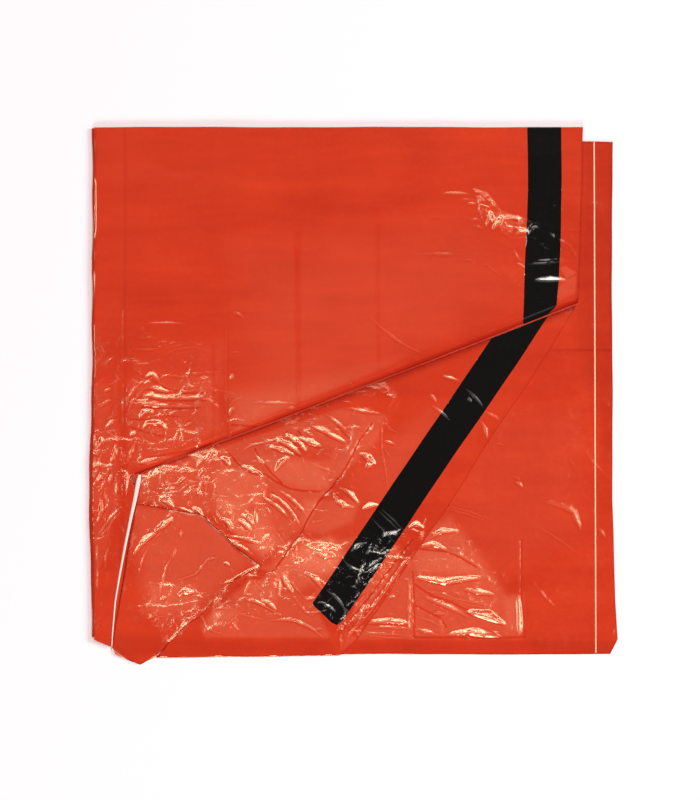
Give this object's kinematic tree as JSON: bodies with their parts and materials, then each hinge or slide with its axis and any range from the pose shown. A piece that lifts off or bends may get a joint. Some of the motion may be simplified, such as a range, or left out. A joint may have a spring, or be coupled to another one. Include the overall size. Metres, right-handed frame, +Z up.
{
  "type": "emergency sleeping bag",
  "caption": "Folded emergency sleeping bag: a lay-flat tube of thin orange film, welded at the foot, open at the mouth, with a black band and one corner folded in.",
  "frame": {"origin": "centre of the folded pack's box, at the ground", "axes": "+Z up; the centre fold runs along Y at the pack's -X side, and the foot edge and the mouth edge are at +X"},
  "size_m": [0.9042, 0.929, 0.0073],
  "materials": {
    "outer_film": "glossy orange-red polythene film, creased and crumpled",
    "inner_film": "the same film's hidden faces, a little duller",
    "weld": "pale line where the two films are melted together",
    "crease": "fold gone white from stress",
    "band": "glossy black band"
  },
  "bodies": {
    "foot_half": {"foot_under_film": "inner_film", "foot_over_film": "outer_film", "foot_tail_side_fold": "outer_film", "foot_head_side_fold": "outer_film", "foot_weld": "weld"},
    "mouth_half": {"mouth_inner_film": "inner_film", "mouth_outer_film": "outer_film", "mouth_side_fold": "outer_film", "mouth_band_outer": "band", "mouth_band_inner": "band", "tuck_lower_leaf": "inner_film", "tuck_upper_leaf": "inner_film", "tuck_fold": "inner_film", "lip_fold": "outer_film", "crease_fold": "crease"},
    "mouth_corner": {"corner_inner_film": "inner_film", "corner_outer_film": "outer_film", "corner_side_fold": "outer_film", "corner_band_outer": "band", "corner_band_inner": "band"},
    "tuck_flap": {"flap_inner_film": "inner_film", "flap_outer_film": "outer_film"}
  },
  "joints": [
    {"name": "centre_fold", "type": "hinge", "parent": "foot_half", "child": "mouth_half", "pos_m": [-0.45245, 0.0085, 0.0046], "axis": [0, -1, 0], "range_deg": [0, 180]},
    {"name": "corner_fold", "type": "hinge", "parent": "mouth_half", "child": "mouth_corner", "pos_m": [0.00566, 0.01205, 0.00685], "axis": [0.9323, 0.3616, 0], "range_deg": [-150, 0]},
    {"name": "flap_fold", "type": "hinge", "parent": "mouth_half", "child": "tuck_flap", "pos_m": [-0.37256, -0.13329, 0.00685], "axis": [0.1593, 0.9872, 0], "range_deg": [-140, 0]}
  ]
}
